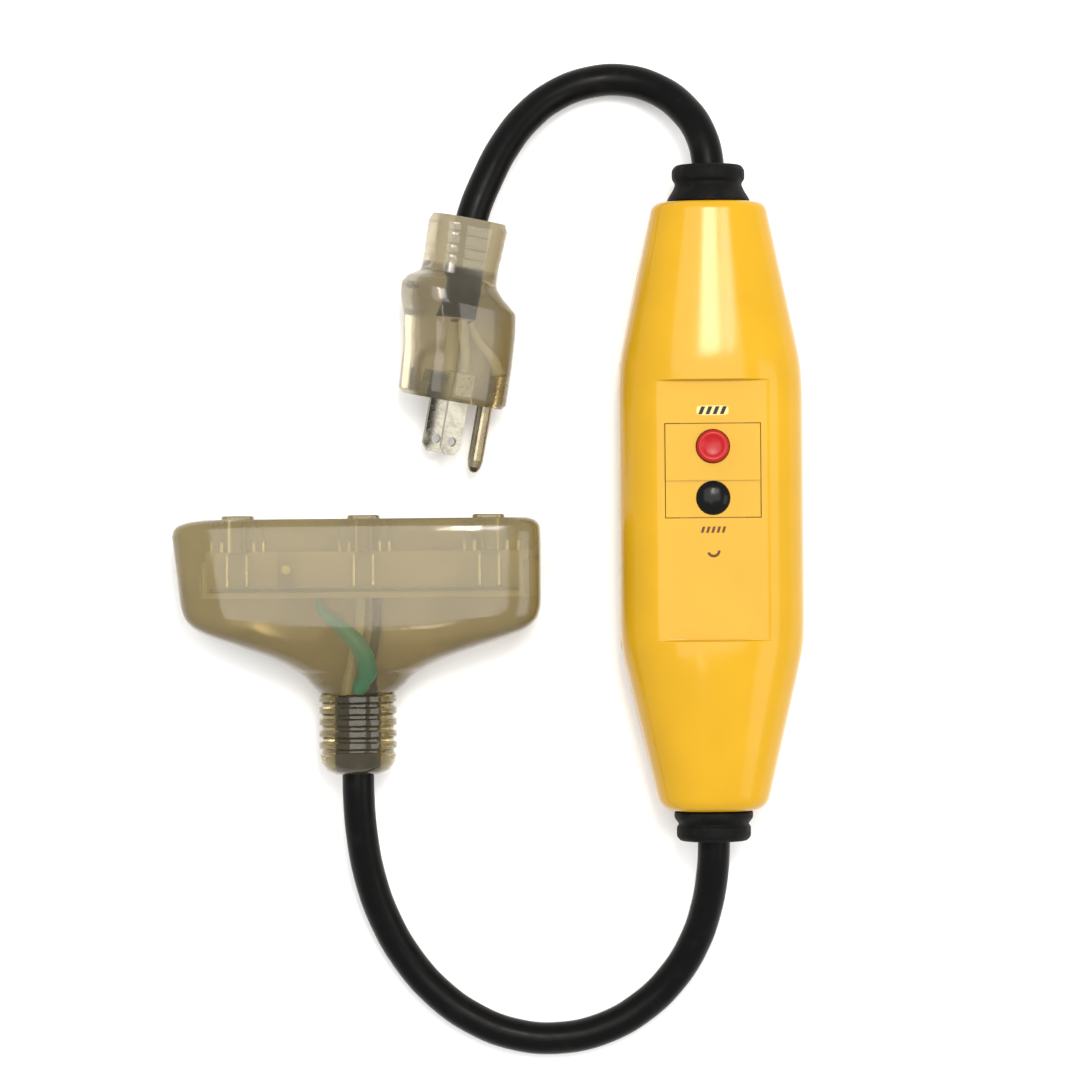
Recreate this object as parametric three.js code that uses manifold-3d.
// In-line ground-fault cord set: a yellow two-shell housing with a red reset and a black test button,
// a short cord to a clear moulded three-pin plug and a longer cord to a clear moulded three-outlet tap.
// Millimetres. Z is up out of the button face, Y runs along the housing towards the plug cord, X is across.
// The origin is on the floor under the middle of the housing.
import * as THREE from "three";
import * as BufferGeometryUtils from "three/addons/utils/BufferGeometryUtils.js";
import Module from "manifold-3d";

const wasm = await Module();
wasm.setup();

// ---------- driving dimensions ----------

const GAP = 0.3; // clearance kept between pieces that touch in the real object

const AXIS_Z = 20; // height of the cord axis and of the parting line of the shells
const WALL = 2.4; // thickness of the shell walls
const HALF_LENGTH = 94; // housing centre to its flat ends
const CROWN_POWER = 2.5; // superellipse power of the crowned front
const BACK_POWER = 3.2; // superellipse power of the flatter back
const BACK_DEPTH = 1.05; // the back runs this much deeper and is planed off at the floor
const INNER_CROWN = 15; // highest the cavity reaches above the axis

// Each station along the housing: place on Y, half width, half height.
const HOUSING_STATIONS = [
  [-94.0, 12.5, 11.5],
  [-93.3, 14.8, 13.5],
  [-91.5, 16.5, 14.8],
  [-88.0, 17.8, 15.6],
  [-68.0, 22.6, 17.9],
  [-49.0, 27.0, 19.7],
  [-43.0, 28.2, 20.0],
  [-36.0, 28.5, 20.0],
  [36.0, 28.5, 20.0],
  [44.0, 28.0, 20.0],
  [49.0, 27.1, 19.7],
  [70.0, 22.7, 17.8],
  [90.0, 18.3, 15.6],
  [92.8, 17.2, 14.8],
  [94.0, 15.4, 13.4],
];

const PANEL = { top: 37.6, halfWidth: 18, back: -41.2, front: 38.6 }; // flat let into the crown

const PLATE = { halfWidth: 14.5, back: -3.4, front: 25.2, step: 8, high: 38.1, low: 37.4, bottom: 32.8 };
const PLATE_LIP = { halfWidth: 10, reach: 1.8, top: 34.1 };

const BUTTON_RADIUS = 5;
const BUTTON_FLANGE = { radius: 6.2, bottom: 31.4, top: 32.5 };
const RESET_Y = 18.3;
const TEST_Y = 2.5;
const STEM_RADIUS = 2;
const RESET_STEM_END = 17.4;
const TEST_STEM_END = 22.9;

const BOSS_X = 20.5; // the four housing screws
const BOSS_Y = 44;
const BOARD = { halfWidth: 15.4, back: -52, front: 56, bottom: 12, top: 13.6 };
const BOARD_TOP = BOARD.top + GAP;

const FRAME_TOP = 25.2; // trip frame that guides both stems
const FRAME_BOTTOM = 23.8;

const CORD_RADIUS = 5;
const CORD_BORE = CORD_RADIUS + GAP;
const WIRE_RADIUS = 1.6;
const JACKET_END = 80; // how far along Y each jacket ends inside the housing

const GROMMET_HOLE = 8.8;

// Plug, in its own axes: +Y back along the cord from the nose face, X towards the ground pin.
const PLUG_PLACE = new THREE.Vector3(-83.7, 34.2, 16.8);
const PLUG_YAW = -10.5; // degrees about Z
const PLUG_PITCH = 2; // degrees, nose down
const PLUG_ROLL = 24; // degrees about its own axis
const BLADE_X = 3.3;
const GROUND_X = 15.2;
const BLADE_SPACING = 12.7;
const BLADE_THICKNESS = 1.5;
const PLUG_JACKET_END = 26; // jacket end behind the nose face

// Each station along the plug: place, left edge, right edge, half depth.
const PLUG_STATIONS = [
  [0, -11.4, 19.2, 12.3],
  [1.4, -12.6, 20.3, 13.3],
  [14, -13.4, 19.9, 13.7],
  [24, -15.2, 19.2, 13.9],
  [30, -17.3, 18.2, 13.9],
  [34, -17.8, 13.0, 12.8],
  [36.6, -16.2, 10.8, 11.0],
  [38.4, -12.6, 10.4, 9.8],
  [42, -12.3, 10.4, 9.3],
  [54.4, -13.0, 11.4, 9.0],
  [56.6, -12.0, 10.5, 8.2],
];
const PLUG_LENGTH = 56.6;

// Tap, lying on its broad side with the outlets facing +Y.
const TAP_Z = 16.5;
const OUTLET_X = [-146.5, -107.6, -69];
const TAP_FACE = -2.8;
const TAP_CORD_X = -110.2;
const SLOT_Z = 10.5;
const GROUND_Z = 22.4;
const TAP_END = -82;

// Each station along the tap: place on Y, left edge, right edge, half thickness.
const TAP_STATIONS = [
  [-82.0, -117.2, -103.2, 7.2],
  [-80.8, -119.8, -100.6, 9.8],
  [-78.5, -121.6, -98.8, 11.5],
  [-76.2, -122.1, -98.3, 12.0],
];
const TAP_RIBS = { first: -75, pitch: 3.6, count: 5, ridge: 12.1, groove: 11.2 };
const TAP_SHOULDERS = [
  [-55.5, -123.3, -96.6, 12.8],
  [-51, -127, -92.6, 13.6],
  [-46.5, -134.5, -84, 14.6],
  [-42, -147, -70.5, 15.6],
  [-38, -158.5, -58.2, 16.3],
  [-34.5, -163, -54.2, 16.5],
  [-30, -164.6, -52.9, 16.5],
  [-7, -167.1, -52.8, 16.5],
  [-4.6, -165.8, -53.4, 16.2],
  [TAP_FACE, -160, -56.4, 14.6],
];

// Cord routes. They leave the housing straight, come down to the floor and rise to the mouldings.
const PLUG_CORD_ROUTE = [
  [0, JACKET_END, 20],
  [0, 94, 20],
  [0, 106, 20],
  [-2, 115.4, 17.8],
  [-7.1, 123.9, 13.3],
  [-15.3, 130.6, 8.9],
  [-25.5, 133.9, 6.2],
  [-36.6, 133.3, 5.8],
  [-47.1, 129.2, 7.6],
  [-55.9, 122.2, 10.7],
  [-62.9, 113.1, 14.3],
  [-68.2, 103, 17.2],
];
const TAP_CORD_ROUTE = [
  [0, -JACKET_END, 20],
  [0, -94, 20],
  [0, -104, 20],
  [-0.5, -113.4, 18.3],
  [-2.2, -124.2, 14.4],
  [-5.8, -135.4, 10.3],
  [-12.4, -146.6, 7],
  [-22.2, -156.3, 5.5],
  [-34.5, -163.1, 5.3],
  [-48.2, -166, 5.3],
  [-62.2, -164.8, 5.3],
  [-75.3, -159.6, 5.3],
  [-86.7, -151.2, 5.3],
  [-95.9, -140.4, 5.8],
  [-102.7, -128, 7.6],
  [-107.1, -114.7, 10.4],
  [-109.4, -101, 13.7],
  [-110.2, -88, 16.1],
  [-110.2, -80, 16.5],
  [-110.2, -56, 16.5],
];

// ---------- materials ----------

const plastic = (color, roughness = 0.5) =>
  new THREE.MeshStandardMaterial({ color, roughness, metalness: 0 });
const metal = (color, roughness = 0.35) => new THREE.MeshStandardMaterial({ color, roughness, metalness: 1 });

const YELLOW = plastic(0xe8b42f, 0.4);
const RED = plastic(0xc43436);
const BLACK = plastic(0x26262a);
const RUBBER = plastic(0x1c1c1c, 0.8);
const CLEAR = plastic(0xb7a97f, 0.2);
const BOARD_GREEN = plastic(0x2c6b3c, 0.6);
const WHITE = plastic(0xe6e4da);
const GREEN = plastic(0x3f9d82);
const BLUE = plastic(0x2d62a8);
const STEEL = metal(0xb8b8ba);
const BRASS = metal(0xc9a24e);
const COPPER = metal(0xb8703a);

// ---------- shape helpers ----------

const group = new THREE.Group();
group.name = "ground_fault_cord_set";

function add(name, geometry, material, parent = group) {
  const mesh = new THREE.Mesh(geometry, material);
  mesh.name = name;
  parent.add(mesh);
  return mesh;
}

function toManifold(geometry) {
  const bare = geometry.clone();
  bare.deleteAttribute("normal");
  bare.deleteAttribute("uv");
  const merged = BufferGeometryUtils.mergeVertices(bare, 1e-4);
  const vertProperties = new Float32Array(merged.attributes.position.array);
  const triVerts = new Uint32Array(merged.index.array);
  return new wasm.Manifold(new wasm.Mesh({ numProp: 3, vertProperties, triVerts }));
}

function fromManifold(manifold) {
  const mesh = manifold.getMesh();
  const geometry = new THREE.BufferGeometry();
  geometry.setAttribute("position", new THREE.BufferAttribute(mesh.vertProperties, 3));
  geometry.setIndex(new THREE.BufferAttribute(mesh.triVerts, 1));
  const flat = geometry.toNonIndexed();
  flat.computeVertexNormals();
  return flat;
}

const join = (first, ...others) =>
  fromManifold(others.reduce((sum, other) => sum.add(toManifold(other)), toManifold(first)));

const cut = (first, ...others) =>
  fromManifold(others.reduce((rest, other) => rest.subtract(toManifold(other)), toManifold(first)));

const overlap = (first, second) => fromManifold(toManifold(first).intersect(toManifold(second)));

// A box from its low corner to its high corner.
function box(low, high) {
  const size = high.map((value, i) => value - low[i]);
  const geometry = new THREE.BoxGeometry(...size);
  return geometry.translate(...low.map((value, i) => value + size[i] / 2));
}

// A round bar along one axis: "x", "y" or "z".
function bar(axis, radius, from, to, centre, sides = 16) {
  const geometry = new THREE.CylinderGeometry(radius, radius, to - from, sides);
  const middle = (from + to) / 2;
  if (axis === "x") return geometry.rotateZ(Math.PI / 2).translate(middle, centre[0], centre[1]);
  if (axis === "z") return geometry.rotateX(Math.PI / 2).translate(centre[0], centre[1], middle);
  return geometry.translate(centre[0], middle, centre[1]);
}

// A turned piece about the Y axis from (radius, place) pairs.
function turned(profile, sides = 20) {
  return new THREE.LatheGeometry(profile.map(([radius, y]) => new THREE.Vector2(radius, y)), sides);
}

// One superellipse ring in a plane of constant Y.
function ring({ y, left, right, axis, up, down, topPower, bottomPower, floor }, sides) {
  const points = [];
  for (let i = 0; i < sides; i += 1) {
    const angle = (2 * Math.PI * i) / sides;
    const across = Math.cos(angle);
    const height = Math.sin(angle);
    const power = 2 / (height >= 0 ? topPower : bottomPower);
    const half = (right - left) / 2;
    const x = (left + right) / 2 + half * Math.sign(across) * Math.abs(across) ** power;
    const reach = height >= 0 ? up : down;
    const z = axis + reach * Math.sign(height) * Math.abs(height) ** power;
    points.push(new THREE.Vector3(x, y, Math.max(z, floor)));
  }
  return points;
}

// A closed skin through rings in order of rising Y, with a fan over each end.
function loft(rings) {
  const sides = rings[0].length;
  const vertices = rings.flat();
  const index = [];
  for (let r = 0; r + 1 < rings.length; r += 1) {
    for (let i = 0; i < sides; i += 1) {
      const a = r * sides + i;
      const b = r * sides + ((i + 1) % sides);
      index.push(a, a + sides, b, b, a + sides, b + sides);
    }
  }
  for (const end of [0, rings.length - 1]) {
    const centre = new THREE.Vector3();
    rings[end].forEach((point) => centre.addScaledVector(point, 1 / sides));
    vertices.push(centre);
    for (let i = 0; i < sides; i += 1) {
      const a = end * sides + i;
      const b = end * sides + ((i + 1) % sides);
      const middle = vertices.length - 1;
      index.push(middle, ...(end === 0 ? [a, b] : [b, a]));
    }
  }
  const geometry = new THREE.BufferGeometry().setFromPoints(vertices);
  geometry.setIndex(index);
  geometry.computeVertexNormals();
  return geometry;
}

// A round bar swept along a smooth curve.
function sweep(curve, radius, steps, sides = 10) {
  const outline = [];
  for (let i = 0; i < sides; i += 1) {
    const angle = (2 * Math.PI * i) / sides;
    outline.push(new THREE.Vector2(radius * Math.cos(angle), radius * Math.sin(angle)));
  }
  const options = { steps, bevelEnabled: false, extrudePath: curve };
  return new THREE.ExtrudeGeometry(new THREE.Shape(outline), options);
}

const route = (points) =>
  new THREE.CatmullRomCurve3(points.map((point) => new THREE.Vector3(...point)), false, "centripetal");

const wire = (points, radius = WIRE_RADIUS, steps = 12) => sweep(route(points), radius, steps, 6);

// A coil spring standing on Z.
class Helix extends THREE.Curve {
  constructor(radius, bottom, top, turns, centre) {
    super();
    Object.assign(this, { radius, bottom, top, turns, centre });
  }

  getPoint(t, target = new THREE.Vector3()) {
    const angle = 2 * Math.PI * this.turns * t;
    const x = this.centre[0] + this.radius * Math.cos(angle);
    const y = this.centre[1] + this.radius * Math.sin(angle);
    return target.set(x, y, this.bottom + (this.top - this.bottom) * t);
  }
}

const mirrorPairs = (x, y) => [[x, y], [-x, y], [-x, -y], [x, -y]];

// ---------- housing shells ----------

function housingRings(wall, sides) {
  const inside = wall > 0;
  return HOUSING_STATIONS.map(([y, halfWidth, halfHeight]) => {
    const end = HALF_LENGTH - wall;
    return ring({
      y: THREE.MathUtils.clamp(y, -end, end),
      left: -(halfWidth - wall),
      right: halfWidth - wall,
      axis: AXIS_Z,
      up: inside ? Math.min(halfHeight - wall, INNER_CROWN) : halfHeight,
      down: (halfHeight - wall) * BACK_DEPTH,
      topPower: CROWN_POWER,
      bottomPower: BACK_POWER,
      floor: wall,
    }, sides);
  });
}

// Stations that the wall has pushed onto one plane are dropped, so that the cavity has one end face.
function cavityRings() {
  const rings = housingRings(WALL, 20);
  const end = HALF_LENGTH - WALL;
  return rings.filter((points, i) => {
    const next = rings[i + 1];
    const previous = rings[i - 1];
    const atLowEnd = points[0].y <= -end && next && next[0].y <= -end;
    const atHighEnd = points[0].y >= end && previous && previous[0].y >= end;
    return !atLowEnd && !atHighEnd;
  });
}

const outerSkin = loft(housingRings(0, 32));
const cavity = loft(cavityRings());
const endHole = bar("y", GROMMET_HOLE, -HALF_LENGTH - 1, HALF_LENGTH + 1, [0, AXIS_Z], 20);

function frontShell() {
  const half = overlap(outerSkin, box([-40, -100, AXIS_Z + GAP / 2], [40, 100, 60]));
  const bosses = mirrorPairs(BOSS_X, BOSS_Y).map(([x, y]) =>
    overlap(bar("z", 3.2, AXIS_Z + GAP / 2, 36, [x, y], 12), outerSkin));
  const pilots = mirrorPairs(BOSS_X, BOSS_Y).map(([x, y]) => bar("z", 1.9, AXIS_Z - 1, 29, [x, y], 8));
  const panel = box([-PANEL.halfWidth, PANEL.back, PANEL.top], [PANEL.halfWidth, PANEL.front, 45]);
  const edge = PLATE.halfWidth + GAP;
  const window = box([-edge, PLATE.back - GAP, 28], [edge, PLATE.front + GAP, 45]);
  const shell = join(cut(half, cavity), ...bosses);
  return cut(shell, panel, window, endHole, ...pilots);
}

function rearShell() {
  const half = overlap(outerSkin, box([-40, -100, -1], [40, 100, AXIS_Z - GAP / 2]));
  const bosses = mirrorPairs(BOSS_X, BOSS_Y).map(([x, y]) =>
    overlap(bar("z", 4.6, 0, AXIS_Z - GAP / 2, [x, y], 12), outerSkin));
  const standoffs = [[12, -49.5], [-12, -49.5], [12, 52.5], [-12, 52.5]].map(([x, y]) =>
    bar("z", 2, 1, BOARD.bottom - GAP, [x, y], 8));
  const wells = mirrorPairs(BOSS_X, BOSS_Y).map(([x, y]) => bar("z", 3.3, -1, 6, [x, y], 12));
  const shafts = mirrorPairs(BOSS_X, BOSS_Y).map(([x, y]) => bar("z", 1.9, -1, AXIS_Z, [x, y], 8));
  const shell = join(cut(half, cavity), ...bosses, ...standoffs);
  return cut(shell, endHole, ...wells, ...shafts);
}

function housingScrew(x, y) {
  const head = bar("z", 2.9, 4, 5.7, [x, y], 12);
  const crossSlots = [[2.2, 0.4], [0.4, 2.2]].map(([along, across]) =>
    box([x - along, y - across, 3], [x + along, y + across, 4.8]));
  return join(cut(head, ...crossSlots), bar("z", 1.5, 5.6, 28, [x, y], 8));
}

add("front_shell", frontShell(), YELLOW);
add("rear_shell", rearShell(), YELLOW);
mirrorPairs(BOSS_X, BOSS_Y).forEach(([x, y], i) => add(`housing_screw_${i + 1}`, housingScrew(x, y), STEEL));

// ---------- cord grommets ----------

// Radius and distance out from the housing centre; the groove is where the boot flexes.
const PLUG_GROMMET = [
  [CORD_BORE, 88.9], [10.2, 88.9], [10.2, 91.2], [8.5, 91.3], [8.5, 94.3], [13, 94.3], [12.6, 95.4],
  [11.1, 97.8], [10.4, 99.4], [10.4, 100.2], [11.3, 101.4], [11.3, 104.2], [10.2, 105.7], [CORD_BORE, 105.7],
  [CORD_BORE, 88.9],
];
const TAP_GROMMET = [
  [CORD_BORE, 88.9], [10.2, 88.9], [10.2, 91.2], [8.5, 91.3], [8.5, 94.3], [12.2, 94.3], [12.2, 96.4],
  [11.2, 97.6], [10.8, 98.3], [11.5, 99.2], [11.5, 102.2], [10.3, 103.5], [CORD_BORE, 103.5],
  [CORD_BORE, 88.9],
];
add("plug_end_grommet", turned(PLUG_GROMMET).translate(0, 0, AXIS_Z), RUBBER);
add("tap_end_grommet", turned(TAP_GROMMET).rotateZ(Math.PI).translate(0, 0, AXIS_Z), RUBBER);

// ---------- buttons ----------

function buttonPlate() {
  const { halfWidth, back, front, step, high, low, bottom } = PLATE;
  const resetHalf = box([-halfWidth, step - 0.1, bottom], [halfWidth, front, high]);
  const testHalf = box([-halfWidth, back, bottom], [halfWidth, step, low]);
  const lip = PLATE_LIP;
  const flange = box([-lip.halfWidth, back - lip.reach, bottom], [lip.halfWidth, front + lip.reach, lip.top]);
  const holes = [RESET_Y, TEST_Y].map((y) => bar("z", BUTTON_RADIUS + GAP, 30, 45, [0, y], 24));
  return cut(join(resetHalf, testHalf, flange), ...holes);
}

function button(y, top, stemEnd, stemRadius) {
  const { radius, bottom, top: flangeTop } = BUTTON_FLANGE;
  const profile = [
    [0, stemEnd], [stemRadius, stemEnd], [stemRadius, bottom], [radius, bottom], [radius, flangeTop],
    [BUTTON_RADIUS, flangeTop], [BUTTON_RADIUS, top - 0.8], [BUTTON_RADIUS - 0.25, top - 0.25],
    [BUTTON_RADIUS - 0.8, top], [3, top - 0.45], [0, top - 0.7],
  ];
  return turned(profile).rotateX(Math.PI / 2).translate(0, y, 0);
}

const springOver = (y, top) => sweep(new Helix(3.2, FRAME_TOP + 0.7, top, 4, [0, y]), 0.35, 40, 5);

add("button_plate", buttonPlate(), YELLOW);
add("reset_button", button(RESET_Y, 39.9, RESET_STEM_END, STEM_RADIUS), RED);
add("test_button", button(TEST_Y, 39.2, TEST_STEM_END, STEM_RADIUS), BLACK);
add("reset_spring", springOver(RESET_Y, BUTTON_FLANGE.bottom - 0.7), STEEL);
add("test_spring", springOver(TEST_Y, BUTTON_FLANGE.bottom - 0.7), STEEL);

// ---------- trip mechanism ----------

function tripFrame() {
  const plate = box([-11.5, -4, FRAME_BOTTOM], [11.5, 26.5, FRAME_TOP]);
  const legs = [[-11.5, -4], [9, -4], [-11.5, 24], [9, 24]].map(([x, y]) =>
    box([x, y, BOARD_TOP], [x + 2.5, y + 2.5, FRAME_TOP - 0.2]));
  const holes = [RESET_Y, TEST_Y].map((y) => bar("z", STEM_RADIUS + 0.5, 20, 28, [0, y], 16));
  return cut(join(plate, ...legs), ...holes);
}

function latchPlate() {
  const plate = box([-5.5, 10, 21.6], [5.5, 31, 22.6]);
  const slot = box([-2.5, RESET_Y - 2.5, 20], [2.5, RESET_Y + 5.8, 24]);
  return cut(plate, slot);
}

function contactCarrier() {
  const beam = box([-13.8, 14.4, 17], [13.8, 22.2, 20.4]);
  return cut(beam, bar("z", STEM_RADIUS + 0.6, 15, 22, [0, RESET_Y], 16));
}

function fixedContact(side) {
  const strip = box([8.5, 16.3, 22.3], [15.2, 20.3, 23.1]);
  const leg = box([14.4, 16.3, BOARD_TOP], [15.2, 20.3, 22.5]);
  const dome = bar("z", 1.9, 21.75, 22.4, [11, RESET_Y], 16);
  const made = join(strip, leg, dome);
  return side > 0 ? made : made.rotateZ(Math.PI).translate(0, 2 * RESET_Y, 0);
}

function solenoidFrame() {
  const base = box([-8, 34, BOARD_TOP], [8, 54, 15.1]);
  const ends = [34, 52.8].map((y) => box([-8, y, 15], [8, y + 1.2, 29.6]));
  return cut(join(base, ...ends), bar("y", 2.7, 33, 55, [0, 22.1], 16));
}

function solenoidCoil() {
  const flange = 6.6;
  const profile = [
    [2.7, 35.5], [flange, 35.5], [flange, 36.6], [6.1, 36.6], [6.1, 51.4], [flange, 51.4], [flange, 52.5],
    [2.7, 52.5], [2.7, 35.5],
  ];
  return turned(profile, 24).translate(0, 0, 22.1);
}

function solenoidPlunger() {
  const profile = [[0, 31.6], [3.5, 31.6], [3.5, 32.8], [2.3, 32.8], [2.3, 48], [0, 48]];
  return turned(profile, 16).translate(0, 0, 22.1);
}

// The fixed strip that the test button's stem touches at the end of its travel.
const TEST_LEAF_TOP = 21.2;
const TEST_LEAF_BOTTOM = 20.7;

const testLeafPost = () => box([-2.5, -9, BOARD_TOP], [2.5, -7, TEST_LEAF_BOTTOM - GAP]);
const testLeaf = () => box([-2.2, -9, TEST_LEAF_BOTTOM], [2.2, 5, TEST_LEAF_TOP]);

add("trip_frame", tripFrame(), BLACK);
add("latch_plate", latchPlate(), STEEL);
add("contact_carrier", contactCarrier(), WHITE);
add("moving_contact_hot", bar("z", 1.9, 20.7, 21.4, [-11, RESET_Y], 16), COPPER);
add("moving_contact_neutral", bar("z", 1.9, 20.7, 21.4, [11, RESET_Y], 16), COPPER);
add("fixed_contact_hot", fixedContact(-1), BRASS);
add("fixed_contact_neutral", fixedContact(1), BRASS);
add("solenoid_frame", solenoidFrame(), STEEL);
add("solenoid_coil", solenoidCoil(), COPPER);
add("solenoid_plunger", solenoidPlunger(), STEEL);
add("test_leaf_post", testLeafPost(), BRASS);
add("test_leaf", testLeaf(), BRASS);

// ---------- circuit board and its parts ----------

function toroid(from, to) {
  const profile = [[4.9, from], [9.4, from], [9.4, to], [4.9, to], [4.9, from]];
  return turned(profile, 24).translate(0, 0, 24.3);
}

function axialResistor() {
  const profile = [
    [0, 27], [0.35, 27], [0.35, 28.5], [1.5, 29], [1.5, 33.6], [0.35, 34.1], [0.35, 35.6], [0, 35.6],
  ];
  return turned(profile, 12).translate(-12.8, 0, 15.6);
}

function circuitBoard() {
  const { halfWidth, back, front, bottom, top } = BOARD;
  return box([-halfWidth, back, bottom], [halfWidth, front, top]);
}

add("circuit_board", circuitBoard(), BOARD_GREEN);
add("sense_transformer", toroid(-28, -21), BLUE);
add("neutral_transformer", toroid(-38, -32), BLUE);
add("film_capacitor", box([-14, -50, BOARD_TOP], [-5.2, -42, 23]), RED);
add("varistor", bar("y", 4.4, -47.6, -44.4, [9.6, 18.6], 20), BLUE);
add("rectifier", box([10.9, 28, BOARD_TOP], [15, 33, 20]), BLACK);
add("control_chip", box([-3, -51, BOARD_TOP], [3, -42, 15.5]), BLACK);
add("dropping_resistor", axialResistor(), WHITE);

// ---------- wires inside the housing ----------

const LINE_HOT = [[-2.4, 78.2, 21.4], [-6, 74, 21], [-11.5, 66, 19], [-12.5, 60, 16.6], [-12.5, 55, 15.7]];
const LOAD_HOT = [
  [-13.7, 8, 15.8], [-13.7, -2, 16.2], [-11, -10, 19.6], [-4.8, -17, 23.4], [-2.6, -22, 24.3],
  [-2.6, -40, 24.3],
  [-2.6, -60, 22.8], [-2.4, -78.2, 21.4],
];
const GROUND = [
  [0, 78.2, 17.2], [0, 72, 14], [0, 62, 8.2], [0, 50, 6.6], [0, 0, 6.6], [0, -48, 6.6], [0, -60, 8.6],
  [0, -72, 14], [0, -78.2, 17.2],
];
const mirrored = (points) => points.map(([x, y, z]) => [-x, y, z]);

add("line_hot_wire", wire(LINE_HOT), BLACK);
add("line_neutral_wire", wire(mirrored(LINE_HOT)), WHITE);
add("load_hot_wire", wire(LOAD_HOT, WIRE_RADIUS, 20), BLACK);
add("load_neutral_wire", wire(mirrored(LOAD_HOT), WIRE_RADIUS, 20), WHITE);
add("through_ground_wire", wire(GROUND, WIRE_RADIUS, 24), GREEN);

// ---------- plug ----------

const plug = new THREE.Group();
plug.position.copy(PLUG_PLACE);
plug.rotation.order = "ZXY";
plug.rotation.set(
  THREE.MathUtils.degToRad(PLUG_PITCH),
  THREE.MathUtils.degToRad(PLUG_ROLL),
  THREE.MathUtils.degToRad(PLUG_YAW),
);
plug.updateMatrixWorld();
group.add(plug);

// A ring of the plug about its own axis; nothing lies below it to stop the ring.
const NO_FLOOR = -100;
const PLUG_POWER = 2.8;
function plugRing(y, left, right, half, sides) {
  const powers = { topPower: PLUG_POWER, bottomPower: PLUG_POWER };
  return ring({ y, left, right, axis: 0, up: half, down: half, floor: NO_FLOOR, ...powers }, sides);
}

function plugBody() {
  const rings = PLUG_STATIONS.map(([y, left, right, half]) => plugRing(y, left, right, half, 28));
  const bore = bar("y", CORD_BORE, PLUG_JACKET_END - 1, PLUG_LENGTH + 2, [0, 0], 20);
  const chamber = box([-4, 2.6, -9], [18, PLUG_JACKET_END - 0.4, 9]);
  const trimmed = overlap(chamber, loft(plugChamberRings()));
  const blades = [[1, 3.6], [-1, 4.4]].map(([side, half]) => {
    const z = (side * BLADE_SPACING) / 2;
    const thick = BLADE_THICKNESS / 2 + GAP;
    return box([BLADE_X - half, -1, z - thick], [BLADE_X + half, 4, z + thick]);
  });
  const pinHole = bar("y", 2.4 + GAP, -1, 4, [GROUND_X, 0], 20);
  return cut(loft(rings), bore, trimmed, ...blades, pinHole);
}

function plugChamberRings() {
  return [2.6, PLUG_JACKET_END - 0.4].map((y) =>
    plugRing(y, -8, 18, 10, 20));
}

function blade(side, width) {
  const half = width / 2;
  const outline = new THREE.Shape();
  outline.moveTo(-half, 9);
  outline.lineTo(-half, -14.4);
  outline.lineTo(-half + 1.8, -16.6);
  outline.lineTo(half - 1.8, -16.6);
  outline.lineTo(half, -14.4);
  outline.lineTo(half, 9);
  const hole = new THREE.Path();
  hole.absarc(0, -12.4, 1.5, 0, 2 * Math.PI);
  outline.holes.push(hole);
  const options = { depth: BLADE_THICKNESS, bevelEnabled: false, curveSegments: 8 };
  const z = (side * BLADE_SPACING) / 2 - BLADE_THICKNESS / 2;
  return new THREE.ExtrudeGeometry(outline, options).translate(BLADE_X, 0, z);
}

const groundPin = () =>
  turned([[0, -21], [1.1, -20.6], [2, -19.2], [2.4, -17], [2.4, 10], [0, 10]], 20).translate(GROUND_X, 0, 0);

add("plug_body", plugBody(), CLEAR, plug);
add("plug_hot_blade", blade(1, 6.35), STEEL, plug);
add("plug_neutral_blade", blade(-1, 7.9), STEEL, plug);
add("plug_ground_pin", groundPin(), BRASS, plug);

// Conductors from the end of the jacket to the blades and the pin.
const PLUG_WIRE_RADIUS = 1.4;
const PLUG_WIRE_START = PLUG_JACKET_END - 1.6;

function bladeWire(side) {
  const places = [[0.6, PLUG_WIRE_START, 2.6], [1.4, 20, 4.6], [2.6, 14, 6.2], [3, 9.6, 6.3]];
  return wire(places.map(([x, y, z]) => [x, y, side * z]), PLUG_WIRE_RADIUS, 12);
}

const pinWire = () =>
  wire([[3.4, PLUG_WIRE_START, 0], [7, 20, 0], [12.4, 15, 0], [14.6, 10.6, 0]], PLUG_WIRE_RADIUS, 12);

add("plug_hot_wire", bladeWire(1), BLACK, plug);
add("plug_neutral_wire", bladeWire(-1), WHITE, plug);
add("plug_ground_wire", pinWire(), GREEN, plug);

// ---------- tap ----------

function tapRings() {
  const ribs = [];
  for (let i = 0; i < TAP_RIBS.count; i += 1) {
    const y = TAP_RIBS.first + i * TAP_RIBS.pitch;
    const shape = [[0, TAP_RIBS.groove], [1.2, TAP_RIBS.ridge], [2.8, TAP_RIBS.ridge]];
    for (const [offset, half] of shape) {
      ribs.push([y + offset, TAP_CORD_X - half, TAP_CORD_X + half, half]);
    }
  }
  return [...TAP_STATIONS, ...ribs, ...TAP_SHOULDERS].map(([y, left, right, half]) => {
    const power = y < -50 ? 2.1 : THREE.MathUtils.mapLinear(Math.min(y, -34), -50, -34, 2.6, 5);
    const across = { left, right, topPower: power, bottomPower: power };
    return ring({ y, axis: TAP_Z, up: half, down: half, floor: 0, ...across }, 24);
  });
}

// A ground opening: round on top, square below.
function groundHole(x) {
  const half = 2.9;
  const outline = new THREE.Shape();
  outline.moveTo(-half, -3.4);
  outline.lineTo(half, -3.4);
  outline.lineTo(half, 0);
  outline.absarc(0, 0, half, 0, Math.PI);
  const options = { depth: 20, bevelEnabled: false, curveSegments: 8 };
  return new THREE.ExtrudeGeometry(outline, options).rotateX(Math.PI / 2).translate(x, 6, GROUND_Z);
}

const slot = (x, height) => box([x - 1.1, -12, SLOT_Z - height / 2], [x + 1.1, 2, SLOT_Z + height / 2]);

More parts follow.
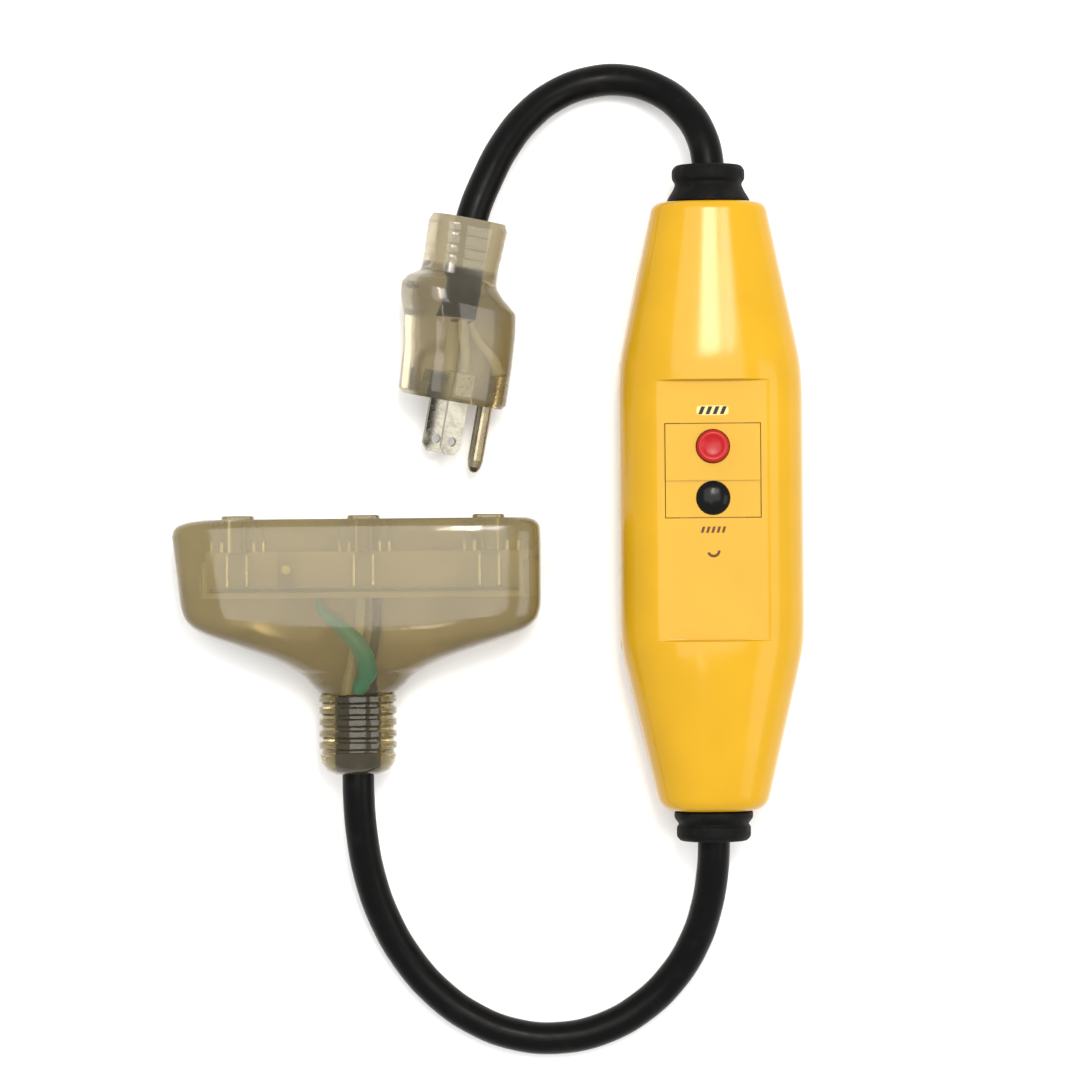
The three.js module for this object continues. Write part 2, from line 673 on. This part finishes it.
function tapBody() {
  const collars = OUTLET_X.map((x) =>
    box([x - 5, TAP_FACE - 2, GROUND_Z - 5], [x + 5, TAP_FACE + 1.2, GROUND_Z + 5]));
  const contacts = box([-158.2, -27.6, 4.2], [-57.6, TAP_FACE - 3.4, 28.8]);
  const wiring = box([-126, -46, 5], [-95, -27, 26]);
  const throat = box([-118, -54, 9.5], [-102.4, -45, 23.5]);
  const bore = bar("y", CORD_BORE, TAP_END - 2, -53, [TAP_CORD_X, TAP_Z], 20);
  const mouths = OUTLET_X.flatMap((x) => [slot(x - 6.35, 7.2), slot(x + 6.35, 8.6), groundHole(x)]);
  return cut(join(loft(tapRings()), ...collars), contacts, wiring, throat, bore, ...mouths);
}

function tapCarrier() {
  const back = box([-157, -27.2, 4.6], [-58.4, -25.4, 28.4]);
  const ends = [box([-157, -26, 4.6], [-155.6, -16, 28.4]), box([-59.8, -26, 4.6], [-58.4, -16, 28.4])];
  const shelves = [10.1, 17.1].map((z) => box([-156, -26, z], [-59, -13, z + 0.7]));
  const lamps = box([-134.4, -25, 16], [-128.8, -12, 18]);
  const wirePlaces = [[-104, 7.4], [-109, 13.8], [-121.5, 22.6]];
  const exits = wirePlaces.map((place) => bar("y", 2, -30, -24, place, 12));
  return cut(join(back, ...ends, ...shelves), lamps, ...exits);
}

// A bar along the tap with a pair of spring leaves behind each opening.
function contactBar(low, high, offset, halfGap, reach) {
  const strip = box([-154.8, -25, low], [-60.4, -24.2, high]);
  const leaves = OUTLET_X.flatMap((x) => [-1, 1].map((side) => {
    const near = x + offset + side * halfGap;
    const far = near + side * 0.7;
    return box([Math.min(near, far), -24.4, low], [Math.max(near, far), reach, high]);
  }));
  return join(strip, ...leaves);
}

add("tap_body", tapBody(), CLEAR);
add("tap_carrier", tapCarrier(), WHITE);
add("tap_hot_bar", contactBar(5.4, 9.7, -6.35, 1.1, -10), BRASS);
add("tap_neutral_bar", contactBar(11.2, 16.2, 6.35, 1.1, -10), BRASS);
add("tap_ground_bar", contactBar(19.4, 25.6, 0, 2.6, -14), BRASS);
const lampBulb = turned([[0, 18.2], [1.7, 18.2], [1.7, 23], [1.2, 24.4], [0, 25]], 16);
add("indicator_lamp", lampBulb.rotateX(Math.PI / 2).translate(-131.6, -18.6, 0), plastic(0xf2d85a, 0.2));

const TAP_WIRE_RADIUS = 1.5;
const TAP_HOT_ROUTE = [
  [-107.8, -55.2, 13.9], [-106.2, -46, 12], [-104.2, -36, 7.8], [-104, -30, 7.4], [-104, -25.6, 7.4],
];
const TAP_NEUTRAL_ROUTE = [
  [-112.4, -55.2, 15], [-111.6, -46, 14], [-109.4, -36, 13.8], [-109, -30, 13.8], [-109, -25.6, 13.8],
];
const TAP_GROUND_ROUTE = [
  [-110.2, -55.2, 19.4], [-107, -48.6, 21], [-109, -42, 22.4], [-116, -35, 22.6], [-121.4, -30, 22.6],
  [-121.5, -25.6, 22.6],
];
add("tap_hot_wire", wire(TAP_HOT_ROUTE, TAP_WIRE_RADIUS), BLACK);
add("tap_neutral_wire", wire(TAP_NEUTRAL_ROUTE, TAP_WIRE_RADIUS), WHITE);
add("tap_ground_wire", wire(TAP_GROUND_ROUTE, TAP_WIRE_RADIUS), GREEN);

// ---------- cords ----------

// Points on the plug's own axis, at distances behind its nose, in the frame of the whole object.
const onPlugAxis = (distances) =>
  distances.map((y) => plug.localToWorld(new THREE.Vector3(0, y, 0)).toArray());

const plugCord = route([...PLUG_CORD_ROUTE, ...onPlugAxis([PLUG_LENGTH, 50, 40, PLUG_JACKET_END])]);
add("plug_cord", sweep(plugCord, CORD_RADIUS, 40, 8), RUBBER);
add("tap_cord", sweep(route(TAP_CORD_ROUTE), CORD_RADIUS, 52, 8), RUBBER);

export default group;
